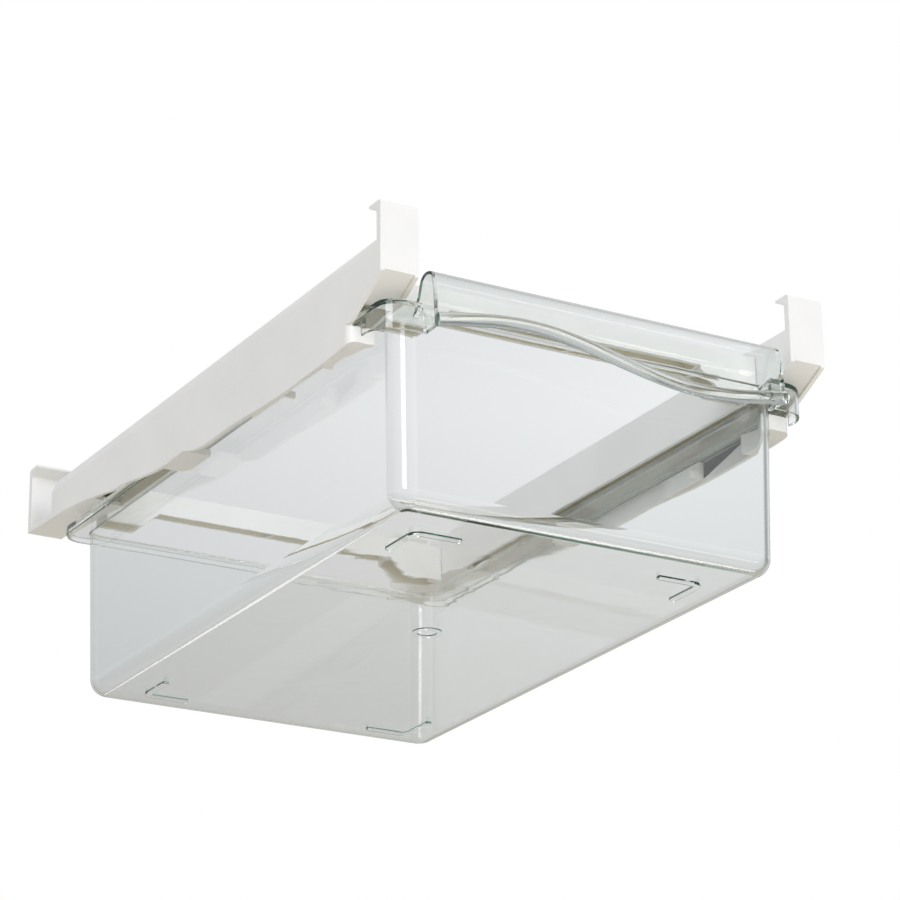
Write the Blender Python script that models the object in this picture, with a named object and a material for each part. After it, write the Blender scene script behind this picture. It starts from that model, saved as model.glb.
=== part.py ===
# Fridge drawer organizer: two hanging side rails, two crossbars and one clear sliding drawer.
# The frame hangs by the hooks at both ends of its rails, and the drawer hangs in them by its flange.
# X runs across the frame, +Y runs back along the slide, +Z is up.
import bpy
import bmesh
import math
from mathutils import Vector

mm = 0.001

# Overall frame
frame_width = 205.0 * mm
crossbar_span = 270.0 * mm
drawer_height = 77.3 * mm
frame_wall = 1.8 * mm
fit_gap = 0.3 * mm
overrun = 2.0 * mm
weld = 0.4 * mm

# Side rails
rail_width = 16.6 * mm
rail_inner_height = 21.0 * mm
rail_front_reach = 25.6 * mm
rail_rear_reach = 12.0 * mm
rail_back_reach = 38.5 * mm
rail_rear_corner = 5.0 * mm
top_chamfer_width = 1.2 * mm
top_chamfer_height = 4.5 * mm
guide_gap = 2.2 * mm

# Hooks that the frame hangs by
shelf_slot = 11.0 * mm
hook_wall = 3.0 * mm
hook_lip_height = 3.9 * mm
hook_lip_tip = 1.0 * mm
hook_lip_reach = 8.9 * mm
hook_drop = 14.7 * mm
hook_corner = 1.5 * mm
slant_drop = 12.2 * mm
slant_recess = 0.8 * mm
rear_plate_rise = 5.3 * mm
rear_plate_run = 70.0 * mm

# Ledges that carry the drawer flange
block_setback = 0.7 * mm
block_width = 10.9 * mm
block_length = 25.7 * mm
block_depth = 6.5 * mm
block_corner = 3.8 * mm
ledge_width = 4.6 * mm
ledge_depth = 8.3 * mm
front_tab_length = 26.5 * mm
front_tab_start = 60.5 * mm
front_tab_width = 4.0 * mm
front_tab_depth = 7.2 * mm
tab_rib_reach = 8.5 * mm
tab_rib_thickness = 1.5 * mm
tab_rib_height = 2.6 * mm
rear_tab_start = 145.0 * mm
rear_tab_length = 23.0 * mm
rear_tab_width = 12.5 * mm
rear_tab_depth = 2.7 * mm
rear_tab_corner = 5.0 * mm
stop_height = 3.6 * mm
stop_thickness = 1.6 * mm
stop_reach = 0.8 * mm
stop_setback = 28.5 * mm

# Crossbars
bar_depth = 12.0 * mm
bar_height = 10.1 * mm
bar_end_height = 17.1 * mm
bar_lift = 1.2 * mm
bar_bottom_rake = 1.9 * mm
bar_end_length = 18.6 * mm
bar_step_length = 8.0 * mm
bar_wall = 1.8 * mm
tongue_length = 6.0 * mm
tongue_depth = 7.0 * mm
tongue_height = 6.0 * mm
tongue_inset = 3.0 * mm

# Drawer
side_play = 1.2 * mm
flange_reach = 11.1 * mm
flange_wall = 1.8 * mm
lip_height = 4.3 * mm
slide_gap = 0.4 * mm
tub_front_reach = 11.7 * mm
tub_rear_reach = 7.3 * mm
tub_wall = 1.8 * mm
tub_floor = 2.0 * mm
tub_draft = 1.25
tub_corner = 9.0 * mm
tub_bottom_radius = 7.0 * mm
flange_rear_corner = 10.0 * mm
skirt_front_reach = 7.6 * mm
skirt_corner = 12.5 * mm
skirt_end_gap = 3.8 * mm
skirt_side_drop = 10.1 * mm
skirt_front_drop = 10.8 * mm
drawer_travel = 200.0 * mm

# Handle
handle_width = 161.0 * mm
handle_wall = 1.8 * mm
handle_height = 13.8 * mm
handle_reach = 18.0 * mm
handle_wave_height = 4.8 * mm
handle_wave_length = 152.0 * mm
handle_wave_middle = 12.1 * mm
handle_wave_shift = 38.1 * mm
handle_wave_tilt = 3.0 * mm
handle_end_lift = 1.0 * mm
bead_height = 5.6 * mm
bead_thickness = 4.0 * mm

# Feet and gate mark under the floor
foot_height = 1.2 * mm
foot_bar = 2.8 * mm
foot_leg_long = 23.0 * mm
foot_leg_short = 22.0 * mm
foot_corner = 5.0 * mm
foot_side_inset = 21.4 * mm
foot_front_inset = 25.1 * mm
foot_rear_inset = 19.3 * mm
gate_outer = 12.4 * mm
gate_inner = 8.6 * mm
gate_height = 0.5 * mm
gate_offset = 13.8 * mm

# How finely curves are cut
corner_steps = 6
fillet_steps = 4
wave_steps = 28
bead_sides = 10

# Places that follow from the sizes
half_width = frame_width / 2
rail_inner = half_width - rail_width
panel_inner = half_width - frame_wall
half_span = crossbar_span / 2
hook_face = -half_span - rail_front_reach
panel_rear = half_span + rail_rear_reach
rear_back = half_span + rail_back_reach
guide_z = drawer_height + guide_gap
rail_top = guide_z + rail_inner_height
hook_bottom = rail_top - hook_drop
slot_top = rail_top + shelf_slot
hook_top = slot_top + hook_lip_height
slide_z = drawer_height - lip_height - slide_gap
block_face = -half_span - block_setback
slant_foot = hook_bottom - slant_drop
flange_half = panel_inner - side_play
tub_half_top = flange_half - flange_reach
tub_front_top = -half_span - tub_front_reach
tub_rear_top = half_span + tub_rear_reach
flange_rear = tub_rear_top + flange_wall
skirt_front = tub_front_top - skirt_front_reach
skirt_end = block_face - skirt_end_gap
draft_slope = math.tan(math.radians(tub_draft))
handle_half = handle_width / 2
handle_face = tub_front_top - handle_reach
bead_front = handle_face - bead_thickness / 2
rail_stop_y = block_face + stop_setback
drawer_stop_y = rail_stop_y + fit_gap + drawer_travel
bar_bottom = drawer_height + bar_lift
bar_top = bar_bottom + bar_end_height


def clear_scene():
    for obj in list(bpy.data.objects):
        bpy.data.objects.remove(obj, do_unlink=True)


def make_material(name, color, roughness, transmission=0.0, ior=1.46):
    material = bpy.data.materials.new(name)
    material.use_nodes = True
    shader = material.node_tree.nodes["Principled BSDF"]
    shader.inputs["Base Color"].default_value = (*color, 1.0)
    shader.inputs["Roughness"].default_value = roughness
    shader.inputs["Metallic"].default_value = 0.0
    shader.inputs["IOR"].default_value = ior
    shader.inputs["Transmission Weight"].default_value = transmission
    return material


def object_from(name, bm):
    mesh = bpy.data.meshes.new(name)
    bm.to_mesh(mesh)
    bm.free()
    obj = bpy.data.objects.new(name, mesh)
    bpy.context.scene.collection.objects.link(obj)
    return obj


def loft(name, rings):
    # Rings of equal length joined in order, with a flat cap on the first and the last.
    bm = bmesh.new()
    loops = [[bm.verts.new(point) for point in ring] for ring in rings]
    count = len(loops[0])
    for lower, upper in zip(loops, loops[1:]):
        for i in range(count):
            j = (i + 1) % count
            bm.faces.new((lower[i], lower[j], upper[j], upper[i]))
    bm.faces.new(list(reversed(loops[0])))
    bm.faces.new(loops[-1])
    bmesh.ops.recalc_face_normals(bm, faces=bm.faces)
    return object_from(name, bm)


def prism(name, axis, outline, start, end):
    # An outline swept straight along one axis; its pairs are (y, z), (x, z) or (x, y).
    place = {
        "X": lambda a, b, c: (c, a, b),
        "Y": lambda a, b, c: (a, c, b),
        "Z": lambda a, b, c: (a, b, c),
    }[axis]
    return loft(name, [[place(a, b, level) for a, b in outline] for level in (start, end)])


def block(name, x, y, z):
    outline = [(x[0], y[0]), (x[1], y[0]), (x[1], y[1]), (x[0], y[1])]
    return prism(name, "Z", outline, z[0], z[1])


def fillet(points, radii, steps=corner_steps):
    # The closed outline with each corner that has a radius turned into an arc.
    result = []
    count = len(points)
    for i, radius in enumerate(radii):
        corner = Vector(points[i])
        if radius == 0:
            result.append(tuple(corner))
            continue
        back = (Vector(points[i - 1]) - corner).normalized()
        ahead = (Vector(points[(i + 1) % count]) - corner).normalized()
        half = back.angle(ahead) / 2
        centre = corner + (back + ahead).normalized() * (radius / math.sin(half))
        first = corner + back * (radius / math.tan(half)) - centre
        last = corner + ahead * (radius / math.tan(half)) - centre
        turn = math.atan2(first.cross(last), first.dot(last))
        for step in range(steps + 1):
            angle = turn * step / steps
            spoke = Vector((
                first.x * math.cos(angle) - first.y * math.sin(angle),
                first.x * math.sin(angle) + first.y * math.cos(angle),
            ))
            result.append(tuple(centre + spoke))
    return result


def combine(target, tool, operation):
    modifier = target.modifiers.new(operation.title(), "BOOLEAN")
    modifier.operation = operation
    modifier.solver = "EXACT"
    modifier.object = tool
    bpy.context.view_layer.update()
    result = target.evaluated_get(bpy.context.evaluated_depsgraph_get())
    mesh = bpy.data.meshes.new_from_object(result)
    target.modifiers.clear()
    target.data = mesh
    bpy.data.objects.remove(tool, do_unlink=True)


def add(target, tool):
    combine(target, tool, "UNION")


def cut(target, tool):
    combine(target, tool, "DIFFERENCE")


def mirrored(source, name, axis):
    # A reflected copy, with its faces turned back to point outwards.
    bm = bmesh.new()
    bm.from_mesh(source.data)
    for vert in bm.verts:
        vert.co[axis] = -vert.co[axis]
    bmesh.ops.reverse_faces(bm, faces=bm.faces)
    return object_from(name, bm)


def finish(obj, material):
    bm = bmesh.new()
    bm.from_mesh(obj.data)
    bmesh.ops.remove_doubles(bm, verts=bm.verts, dist=weld / 100)
    bmesh.ops.dissolve_limit(bm, angle_limit=math.radians(0.2), verts=bm.verts, edges=bm.edges)
    bm.to_mesh(obj.data)
    bm.free()
    obj.data.materials.clear()
    obj.data.materials.append(material)
    obj.data.shade_smooth()
    obj.data.set_sharp_from_angle(angle=math.radians(32))
    obj.location = (0, -(bead_front + rear_back) / 2, foot_height)


# Rails, built on the +X side and mirrored for the other


def slant_at(z, inset=0):
    # The y of the slanted front line at height z, moved square into the rail by inset.
    run = block_face - hook_face
    stretch = math.hypot(run, slant_drop) / slant_drop
    return hook_face + run * (hook_bottom - z) / slant_drop + inset * stretch


def rear_underside():
    # The rear plate rises from the guide edge to the foot of the rear hook.
    start = rear_back - rear_plate_run
    underside_shares = [(0.0, 0.0), (0.07, 0.18), (0.40, 0.64), (0.60, 0.78), (0.957, 1.0), (1.0, 1.0)]
    return [(start + rear_plate_run * run, guide_z + rear_plate_rise * rise)
            for run, rise in underside_shares]


def hook_lip(face, direction):
    # The lip that turns in over the hook's slot, thick at the wall and thin at its tip.
    tip = face + direction * hook_lip_reach
    inner = face + direction * hook_wall
    return [(face, hook_top), (tip, hook_top), (tip, hook_top - hook_lip_tip), (inner, slot_top)]


def rail_body():
    underside = rear_underside()
    plate_top = underside[-1][1] + frame_wall
    rear_lip = hook_lip(rear_back, -1)
    front_lip = hook_lip(hook_face, 1)
    outline = [(hook_face, hook_bottom), (slant_at(guide_z), guide_z)]
    outline += underside
    radii = [hook_corner / 2] + [0] * len(underside) + [0]
    outline += rear_lip
    radii += [hook_corner, 0, 0, 0]
    outline += [(rear_lip[3][0], plate_top), (panel_rear, plate_top), (panel_rear, rail_top)]
    radii += [0, 0, rail_rear_corner]
    outline += [(front_lip[3][0], rail_top), front_lip[3], front_lip[2], front_lip[1], front_lip[0]]
    radii += [0, 0, 0, 0, hook_corner]
    return prism("rail", "X", fillet(outline, radii), rail_inner, half_width)


def rail_cavity():
    # Open from below between the slanted web and the rear plate.
    web = slant_recess + frame_wall
    roof = rail_top - frame_wall
    rear_wall = panel_rear - frame_wall
    underside = [(y, z + frame_wall) for y, z in rear_underside() if y < rear_wall]
    plate_start = rear_back - rear_plate_run
    rise_end = underside[-1][1]
    outline = [
        (slant_at(guide_z, web) + overrun, guide_z - overrun),
        (slant_at(guide_z, web), guide_z),
        (slant_at(hook_bottom + web, web), hook_bottom + web),
        (slant_at(hook_bottom + web, web), roof),
        (rear_wall, roof),
        (rear_wall, rise_end + frame_wall),
    ]
    outline += list(reversed(underside))
    outline += [(plate_start, guide_z - overrun)]
    return prism("cavity", "X", outline, rail_inner + frame_wall, panel_inner)


def slant_pocket():
    # The slanted web lies back from the edges of the two side walls.
    low = guide_z - overrun
    high = hook_bottom + slant_recess
    outline = [
        (slant_at(high) - overrun, high),
        (slant_at(low) - overrun, low),
        (slant_at(low, slant_recess), low),
        (slant_at(high, slant_recess), high),
    ]
    return prism("pocket", "X", outline, rail_inner + frame_wall, panel_inner)


def panel_skirt():
    # The outer panel hangs below the guide edge; its lower edge follows a gentle stepped line.
    lower_edge_shares = [
        (0.0, 0.0), (0.03, -0.08), (0.108, -0.13), (0.26, -0.155), (0.37, -0.05), (0.43, 0.0), (0.54, 0.01),
        (0.588, 0.17), (0.617, 0.29), (0.693, 0.27), (0.78, 0.455), (0.86, 0.67), (0.90, 0.71), (1.0, 1.0),
    ]
    end = rear_back - rear_plate_run
    foot = slide_z - block_depth
    run = end - block_face
    rise = guide_z - foot
    outline = [(block_face + run * a, foot + rise * b) for a, b in lower_edge_shares]
    outline += [(end, guide_z + overrun), (slant_at(guide_z + overrun), guide_z + overrun)]
    outline += [(block_face, slant_foot)]
    return prism("panel", "X", outline, panel_inner, half_width)


def front_ledge():
    # The block at the mouth, with a ledge that narrows behind it.
    foot = slide_z - block_depth
    low = slide_z - ledge_depth
    rear = block_face + block_length
    side = [(block_face, foot), (block_face + block_corner * 2, low + weld), (rear, low)]
    side += [(rear, slide_z), (block_face, slide_z)]
    inner = half_width - block_width
    ledge = prism("ledge", "X", side, inner, panel_inner + weld)
    reach = block_width - ledge_width
    run = block_length - tab_rib_thickness
    ledge_curve_shares = [(0.0, 0.0), (0.08, 0.42), (0.26, 0.68), (0.46, 0.92), (0.68, 1.0), (0.90, 0.88),
                          (1.0, 0.70)]
    curve = [(inner + reach * b, block_face + tab_rib_thickness + run * a) for a, b in ledge_curve_shares]
    plan = [(inner - overrun, curve[0][1])] + curve
    plan += [(curve[-1][0], rear + overrun), (inner - overrun, rear + overrun)]
    cut(ledge, prism("curve", "Z", plan, low - overrun, slide_z + overrun))
    return ledge


def front_tab():
    start = block_face + front_tab_start
    side = [(start, slide_z - front_tab_depth), (start + front_tab_length, slide_z - front_tab_depth)]
    side += [(start + front_tab_length, slide_z), (start, slide_z)]
    tab = prism("front_tab", "X", side, half_width - front_tab_width, panel_inner + weld)
    rib_z = slide_z - front_tab_depth
    rib = block("rib", (half_width - tab_rib_reach, panel_inner + weld), (start, start + tab_rib_thickness),
                (rib_z, rib_z + tab_rib_height))
    add(tab, rib)
    return tab


def rear_tab():
    start = block_face + rear_tab_start
    end = start + rear_tab_length
    inner = half_width - rear_tab_width
    outer = panel_inner + weld
    plan = [(inner, start), (outer, start), (outer, end), (inner, end)]
    plan = fillet(plan, [0, 0, 0, rear_tab_corner])
    return prism("rear_tab", "Z", plan, slide_z - rear_tab_depth, slide_z)


def rail_stop():
    # The nib that the drawer's stop rib meets when the drawer is pulled right out.
    low = drawer_height - lip_height
    return block("stop", (panel_inner - stop_reach, panel_inner + weld),
                 (rail_stop_y - stop_thickness, rail_stop_y), (low, low + stop_height))


def top_chamfer():
    outline = [
        (half_width - top_chamfer_width, rail_top),
        (half_width, rail_top - top_chamfer_height),
        (half_width + overrun, rail_top - top_chamfer_height),
        (half_width + overrun, rail_top + overrun),
        (half_width - top_chamfer_width, rail_top + overrun),
    ]
    return prism("chamfer", "Y", outline, hook_face + hook_wall, panel_rear + overrun)


def block_rounding():
    # Takes the sharp outer corner off the mouth block.
    corner = (half_width, block_face)
    past = half_width + overrun
    ahead = block_face - overrun
    arc = fillet([(half_width - overrun * 3, block_face), corner, (half_width, block_face + overrun * 4)],
                 [0, block_corner, 0])
    outline = arc[1:-1] + [(past, block_face + block_corner), (past, ahead)]
    outline += [(half_width - block_corner, ahead)]
    return prism("rounding", "Z", outline, slide_z - ledge_depth - overrun, slant_foot)


def tongue_slot(bar_y):
    middle = bar_top - tongue_inset - tongue_height / 2
    half_depth = tongue_depth / 2 + fit_gap
    half_height = tongue_height / 2 + fit_gap
    return block("slot", (rail_inner - overrun, rail_inner + frame_wall + overrun),
                 (bar_y - half_depth, bar_y + half_depth), (middle - half_height, middle + half_height))


def bar_middle(side):
    return side * (half_span - bar_depth / 2)


def make_rail():
    rail = rail_body()
    cut(rail, rail_cavity())
    cut(rail, slant_pocket())
    add(rail, panel_skirt())
    add(rail, front_ledge())
    add(rail, front_tab())
    add(rail, rear_tab())
    cut(rail, block_rounding())
    cut(rail, top_chamfer())
    add(rail, rail_stop())
    for side in (-1, 1):
        cut(rail, tongue_slot(bar_middle(side)))
    return rail


# Crossbars, built for the front and mirrored for the rear


def bar_hollow(x0, x1):
    return block("hollow", (x0, x1), (-half_span + bar_wall, -half_span + bar_depth - bar_wall),
                 (bar_bottom - overrun, bar_top - bar_wall))


def make_crossbar():
    end = rail_inner - fit_gap
    step_out = end - bar_end_length
    step_in = step_out - bar_step_length
    middle_z = bar_top - bar_height
    outline = [
        (-end, bar_top), (-end, bar_bottom), (-step_out, bar_bottom), (-step_in, middle_z),
        (step_in, middle_z), (step_out, bar_bottom), (end, bar_bottom), (end, bar_top),
    ]
    bar = prism("crossbar", "Y", outline, -half_span, -half_span + bar_depth)
    rake = [
        (-half_span - overrun, middle_z - overrun),
        (-half_span + bar_depth, middle_z - overrun),
        (-half_span + bar_depth, middle_z),
        (-half_span, middle_z + bar_bottom_rake),
        (-half_span - overrun, middle_z + bar_bottom_rake),
    ]
    cut(bar, prism("rake", "X", rake, -step_in + weld, step_in - weld))
    for side in (-1, 1):
        near = side * bar_wall / 2
        far = side * (step_in - bar_wall)
        cut(bar, bar_hollow(min(near, far), max(near, far)))
        near = side * step_in
        far = side * (end - bar_wall)
        cut(bar, bar_hollow(min(near, far), max(near, far)))
        z = bar_top - tongue_inset
        tip = rail_inner + tongue_length
        x = sorted((side * (end - bar_wall / 2), side * tip))
        y = (bar_middle(-1) - tongue_depth / 2, bar_middle(-1) + tongue_depth / 2)
        add(bar, block("tongue", x, y, (z - tongue_height, z)))
    return bar


# Drawer


def tub_ring(z, inset, radius):
    # A rounded rectangle of the drafted tub at height z, moved in by inset.
    slope = draft_slope * (drawer_height - z)
    x = tub_half_top - slope - inset
    front = tub_front_top + slope + inset
    rear = tub_rear_top - slope - inset
    corners = [(-x, front), (x, front), (x, rear), (-x, rear)]
    return [(a, b, z) for a, b in fillet(corners, [radius] * len(corners))]


def tub_solid(name, inset, floor, top, bottom_radius):
    rings = []
    for step in range(fillet_steps + 1):
        angle = math.radians(90) * step / fillet_steps
        pull = bottom_radius * (1 - math.sin(angle))
        z = floor + bottom_radius * (1 - math.cos(angle))
        rings.append(tub_ring(z, inset + pull, max(tub_corner - inset - pull, tub_wall / 2)))
    rings.append(tub_ring(top, inset, tub_corner - inset))
    return loft(name, rings)


def flange_plan(inset):
    # The flange outline seen from above, with the skirt's large corners at the front.
    x = flange_half - inset
    front = skirt_front + inset
    rear = flange_rear - inset
    points = [(-x, front), (x, front), (x, rear), (-x, rear)]
    return fillet(points, [skirt_corner - inset] * 2 + [flange_rear_corner - inset] * 2)


def flange():
    # A flat flange round the tub with a lip that hangs from its edge.
    lip_z = drawer_height - lip_height
    rim = prism("flange", "Z", flange_plan(0), lip_z, drawer_height)
    under = drawer_height - flange_wall
    tub_side = tub_half_top - tub_wall
    for side in (-1, 1):
        x0 = side * tub_side
        x1 = side * (flange_half - flange_wall)
        front = skirt_front - overrun
        rear = flange_rear - flange_wall
        plan = [(x0, front), (x1, front), (x1, rear), (x0, rear)]
        plan = fillet(plan, [0, 0, flange_rear_corner - flange_wall, 0])
        cut(rim, prism("underside", "Z", plan, lip_z - overrun, under))
    mouth = [(-tub_side, skirt_front - overrun), (tub_side, skirt_front - overrun)]
    mouth += [(tub_side, tub_front_top + tub_wall / 2), (-tub_side, tub_front_top + tub_wall / 2)]
    cut(rim, prism("front_underside", "Z", mouth, lip_z - overrun, under))
    pocket = handle_half - handle_wall
    cut(rim, block("pocket_mouth", (-pocket, pocket), (skirt_front - overrun, tub_front_top + tub_wall / 2),
                   (lip_z - overrun, drawer_height + overrun)))
    return rim


def skirts():
    # The two front corner skirts, deeper than the lip, that wrap round to the handle.
    low = drawer_height - skirt_front_drop
    past = (low - overrun, drawer_height + overrun)
    ring = prism("skirt", "Z", flange_plan(0), low, drawer_height)
    cut(ring, prism("inside", "Z", flange_plan(flange_wall), past[0], past[1]))
    wide = flange_half + overrun
    cut(ring, block("behind", (-wide, wide), (skirt_end, flange_rear + overrun), past))
    between = (-handle_half + handle_wall, handle_half - handle_wall)
    cut(ring, block("middle", between, (skirt_front - overrun, skirt_front + skirt_corner), past))
    side_low = drawer_height - skirt_side_drop
    wedge = [(skirt_end, side_low), (skirt_front, low), (skirt_front, past[0]), (skirt_end, past[0])]
    cut(ring, prism("rake", "X", wedge, -wide, wide))
    return ring


def wave(x):
    # The height of the handle's lower edge at x.
    turn = 2 * math.pi * (x - handle_wave_shift) / handle_wave_length
    tilt = handle_wave_tilt * x / handle_width
    return drawer_height - handle_wave_middle - handle_wave_height * math.cos(turn) - tilt


def handle_profile(bottom):
    # The handle's section, (y, z): up from the tub wall, over the top and down the front plate.
    deep = handle_reach
    rise = handle_height
    outer_shares = [(-0.085, -0.14), (-0.10, 0.0), (0.16, 0.40), (0.27, 0.78), (0.36, 0.93), (0.50, 1.0),
                    (0.64, 0.985), (0.74, 0.92), (0.80, 0.80), (0.86, 0.45), (0.905, 0.0)]
    outer = [(tub_front_top - deep * a, drawer_height + rise * b) for a, b in outer_shares]
    outer.append((handle_face + bead_thickness / 4, bottom))
    inner = []
    for i in range(len(outer)):
        before = Vector(outer[max(i - 1, 0)])
        after = Vector(outer[min(i + 1, len(outer) - 1)])
        along = (after - before).normalized()
        inner.append((outer[i][0] - along.y * handle_wall, outer[i][1] + along.x * handle_wall))
    inner[0] = (tub_front_top + tub_wall / 4, outer[0][1])
    inner[1] = (tub_front_top - tub_wall / 2, outer[1][1] + tub_wall / 2)
    inner[-1] = (outer[-1][0] + handle_wall, bottom)
    return outer, inner


def handle_shell():
    rings = []
    for step in range(wave_steps + 1):
        x = -handle_half + handle_width * step / wave_steps
        outer, inner = handle_profile(wave(x) + bead_height / 2)
        rings.append([(x, y, z) for y, z in outer + list(reversed(inner))])
    return loft("handle", rings)


def handle_bead():
    # A rounded rib along the wavy lower edge.
    rings = []
    for step in range(wave_steps + 1):
        x = -handle_half + handle_width * step / wave_steps
        middle = wave(x) + bead_height / 2
        ring = []
        for side in range(bead_sides):
            angle = 2 * math.pi * side / bead_sides
            ring.append((x, handle_face + bead_thickness / 2 * math.cos(angle),
                         middle + bead_height / 2 * math.sin(angle)))
        rings.append(ring)
    return loft("bead", rings)


def handle_end(side):
    # The wall that closes the handle's end; below the flange it runs on from the corner skirt.
    x = sorted((side * handle_half, side * (handle_half - handle_wall)))
    bottom = wave(side * handle_half) + handle_end_lift
    outer, inner = handle_profile(bottom)
    outline = [((a[0] + b[0]) / 2, (a[1] + b[1]) / 2) for a, b in zip(outer, inner)]
    under = drawer_height - flange_wall / 2
    joint = skirt_front + flange_wall / 2
    outline[:2] = [(joint, bottom), (joint, under), (tub_front_top, under), (tub_front_top, drawer_height)]
    return prism("end", "X", outline, x[0], x[1])


def foot(side_x, corner_y, direction):
    # An L-shaped rib; its corner points to the tub's corner.
    x = side_x * (tub_half_top - foot_side_inset)
    legs = [
        (x, corner_y), (x, corner_y - direction * foot_leg_long),
        (x - side_x * foot_bar, corner_y - direction * foot_leg_long),
        (x - side_x * foot_bar, corner_y - direction * foot_bar),
        (x - side_x * foot_leg_short, corner_y - direction * foot_bar),
        (x - side_x * foot_leg_short, corner_y),
    ]
    radii = [foot_corner, foot_bar / 3, foot_bar / 3, foot_corner - foot_bar, foot_bar / 3, foot_bar / 3]
    return prism("foot", "Z", fillet(legs, radii, fillet_steps), -foot_height, tub_floor / 2)


def gate_disc(name, diameter, z0, z1):
    count = corner_steps * 4
    circle = []
    for i in range(count):
        angle = 2 * math.pi * i / count
        circle.append((diameter / 2 * math.cos(angle), diameter / 2 * math.sin(angle) - gate_offset))
    return prism(name, "Z", circle, z0, z1)


def make_drawer():
    drawer = tub_solid("drawer", 0, 0, drawer_height, tub_bottom_radius)
    add(drawer, flange())
    add(drawer, skirts())
    for side in (-1, 1):
        add(drawer, handle_end(side))
    add(drawer, handle_shell())
    add(drawer, handle_bead())
    for side in (-1, 1):
        lip_face = side * flange_half
        x = sorted((lip_face - side * weld, lip_face + side * stop_reach))
        y = (drawer_stop_y, drawer_stop_y + stop_thickness)
        low = drawer_height - lip_height
        add(drawer, block("stop", x, y, (low, low + stop_height)))
        add(drawer, foot(side, tub_front_top + foot_front_inset, -1))
        add(drawer, foot(side, tub_rear_top - foot_rear_inset, 1))
    gate = gate_disc("gate", gate_outer, -gate_height, tub_floor / 2)
    cut(gate, gate_disc("gate_hole", gate_inner, -gate_height - overrun, tub_floor))
    add(drawer, gate)
    inner_radius = tub_bottom_radius - tub_wall
    cut(drawer, tub_solid("inside", tub_wall, tub_floor, drawer_height + overrun / 4, inner_radius))
    return drawer


def build():
    clear_scene()
    white = make_material("frame_plastic", (0.90, 0.89, 0.87), 0.35)
    clear = make_material("drawer_plastic", (0.86, 0.93, 0.91), 0.05, transmission=1.0, ior=1.49)
    right = make_rail()
    right.name = "right_rail"
    left = mirrored(right, "left_rail", 0)
    front = make_crossbar()
    front.name = "front_crossbar"
    rear = mirrored(front, "rear_crossbar", 1)
    for obj in (right, left, front, rear):
        finish(obj, white)
    finish(make_drawer(), clear)


build()
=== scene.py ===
import bpy
import bmesh
import math
from mathutils import Matrix, Vector


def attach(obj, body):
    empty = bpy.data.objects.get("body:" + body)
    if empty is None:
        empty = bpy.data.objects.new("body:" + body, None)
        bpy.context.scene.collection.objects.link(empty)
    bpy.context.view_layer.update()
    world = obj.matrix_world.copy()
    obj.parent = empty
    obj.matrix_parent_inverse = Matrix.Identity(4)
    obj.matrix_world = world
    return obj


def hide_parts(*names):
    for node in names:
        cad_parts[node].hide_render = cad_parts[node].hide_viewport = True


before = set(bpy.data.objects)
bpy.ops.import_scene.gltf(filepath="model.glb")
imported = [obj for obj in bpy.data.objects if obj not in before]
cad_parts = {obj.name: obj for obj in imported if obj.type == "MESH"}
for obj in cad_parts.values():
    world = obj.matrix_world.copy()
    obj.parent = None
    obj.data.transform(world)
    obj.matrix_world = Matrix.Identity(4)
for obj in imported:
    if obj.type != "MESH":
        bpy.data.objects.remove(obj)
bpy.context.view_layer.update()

# The looks of a hanging drawer organizer: a white moulded frame and a clear drawer with a wavy pull.
# Shapes are worked out with y = 0 midway between the crossbars and z = 0 under the drawer's floor,
# and every piece is then moved into the frame's own place.

mm = 0.001

# Sizes of the frame
frame_width = 205.0 * mm
crossbar_span = 270.0 * mm
drawer_height = 77.3 * mm
frame_wall = 1.8 * mm
fit_gap = 0.3 * mm
overrun = 2.0 * mm
weld = 0.4 * mm
rail_width = 16.6 * mm
rail_inner_height = 21.0 * mm
rail_front_reach = 25.6 * mm
rail_rear_reach = 12.0 * mm
rail_back_reach = 38.5 * mm
rail_rear_corner = 5.0 * mm
top_chamfer_width = 1.2 * mm
top_chamfer_height = 4.5 * mm
guide_gap = 2.2 * mm
shelf_slot = 11.0 * mm
hook_wall = 3.0 * mm
hook_lip_height = 3.9 * mm
hook_lip_tip = 1.0 * mm
hook_lip_reach = 8.9 * mm
hook_drop = 14.7 * mm
hook_corner = 1.5 * mm
slant_drop = 12.2 * mm
slant_recess = 0.8 * mm
rear_plate_rise = 5.3 * mm
rear_plate_run = 70.0 * mm
block_setback = 0.7 * mm
block_width = 10.9 * mm
block_length = 25.7 * mm
block_depth = 6.5 * mm
block_corner = 3.8 * mm
ledge_width = 4.6 * mm
ledge_depth = 8.3 * mm
front_tab_length = 26.5 * mm
front_tab_start = 60.5 * mm
front_tab_width = 4.0 * mm
front_tab_depth = 7.2 * mm
tab_rib_reach = 8.5 * mm
tab_rib_thickness = 1.5 * mm
tab_rib_height = 2.6 * mm
rear_tab_start = 145.0 * mm
rear_tab_length = 23.0 * mm
rear_tab_width = 12.5 * mm
rear_tab_depth = 2.7 * mm
rear_tab_corner = 5.0 * mm
stop_height = 3.6 * mm
stop_thickness = 1.6 * mm
stop_reach = 0.8 * mm
stop_setback = 28.5 * mm
bar_depth = 12.0 * mm
bar_height = 10.1 * mm
bar_end_height = 17.1 * mm
bar_lift = 1.2 * mm
bar_bottom_rake = 1.9 * mm
bar_end_length = 18.6 * mm
bar_step_length = 8.0 * mm
bar_wall = 1.8 * mm
tongue_length = 6.0 * mm
tongue_depth = 7.0 * mm
tongue_height = 6.0 * mm
tongue_inset = 3.0 * mm
frame_edge = 0.45 * mm

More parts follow.
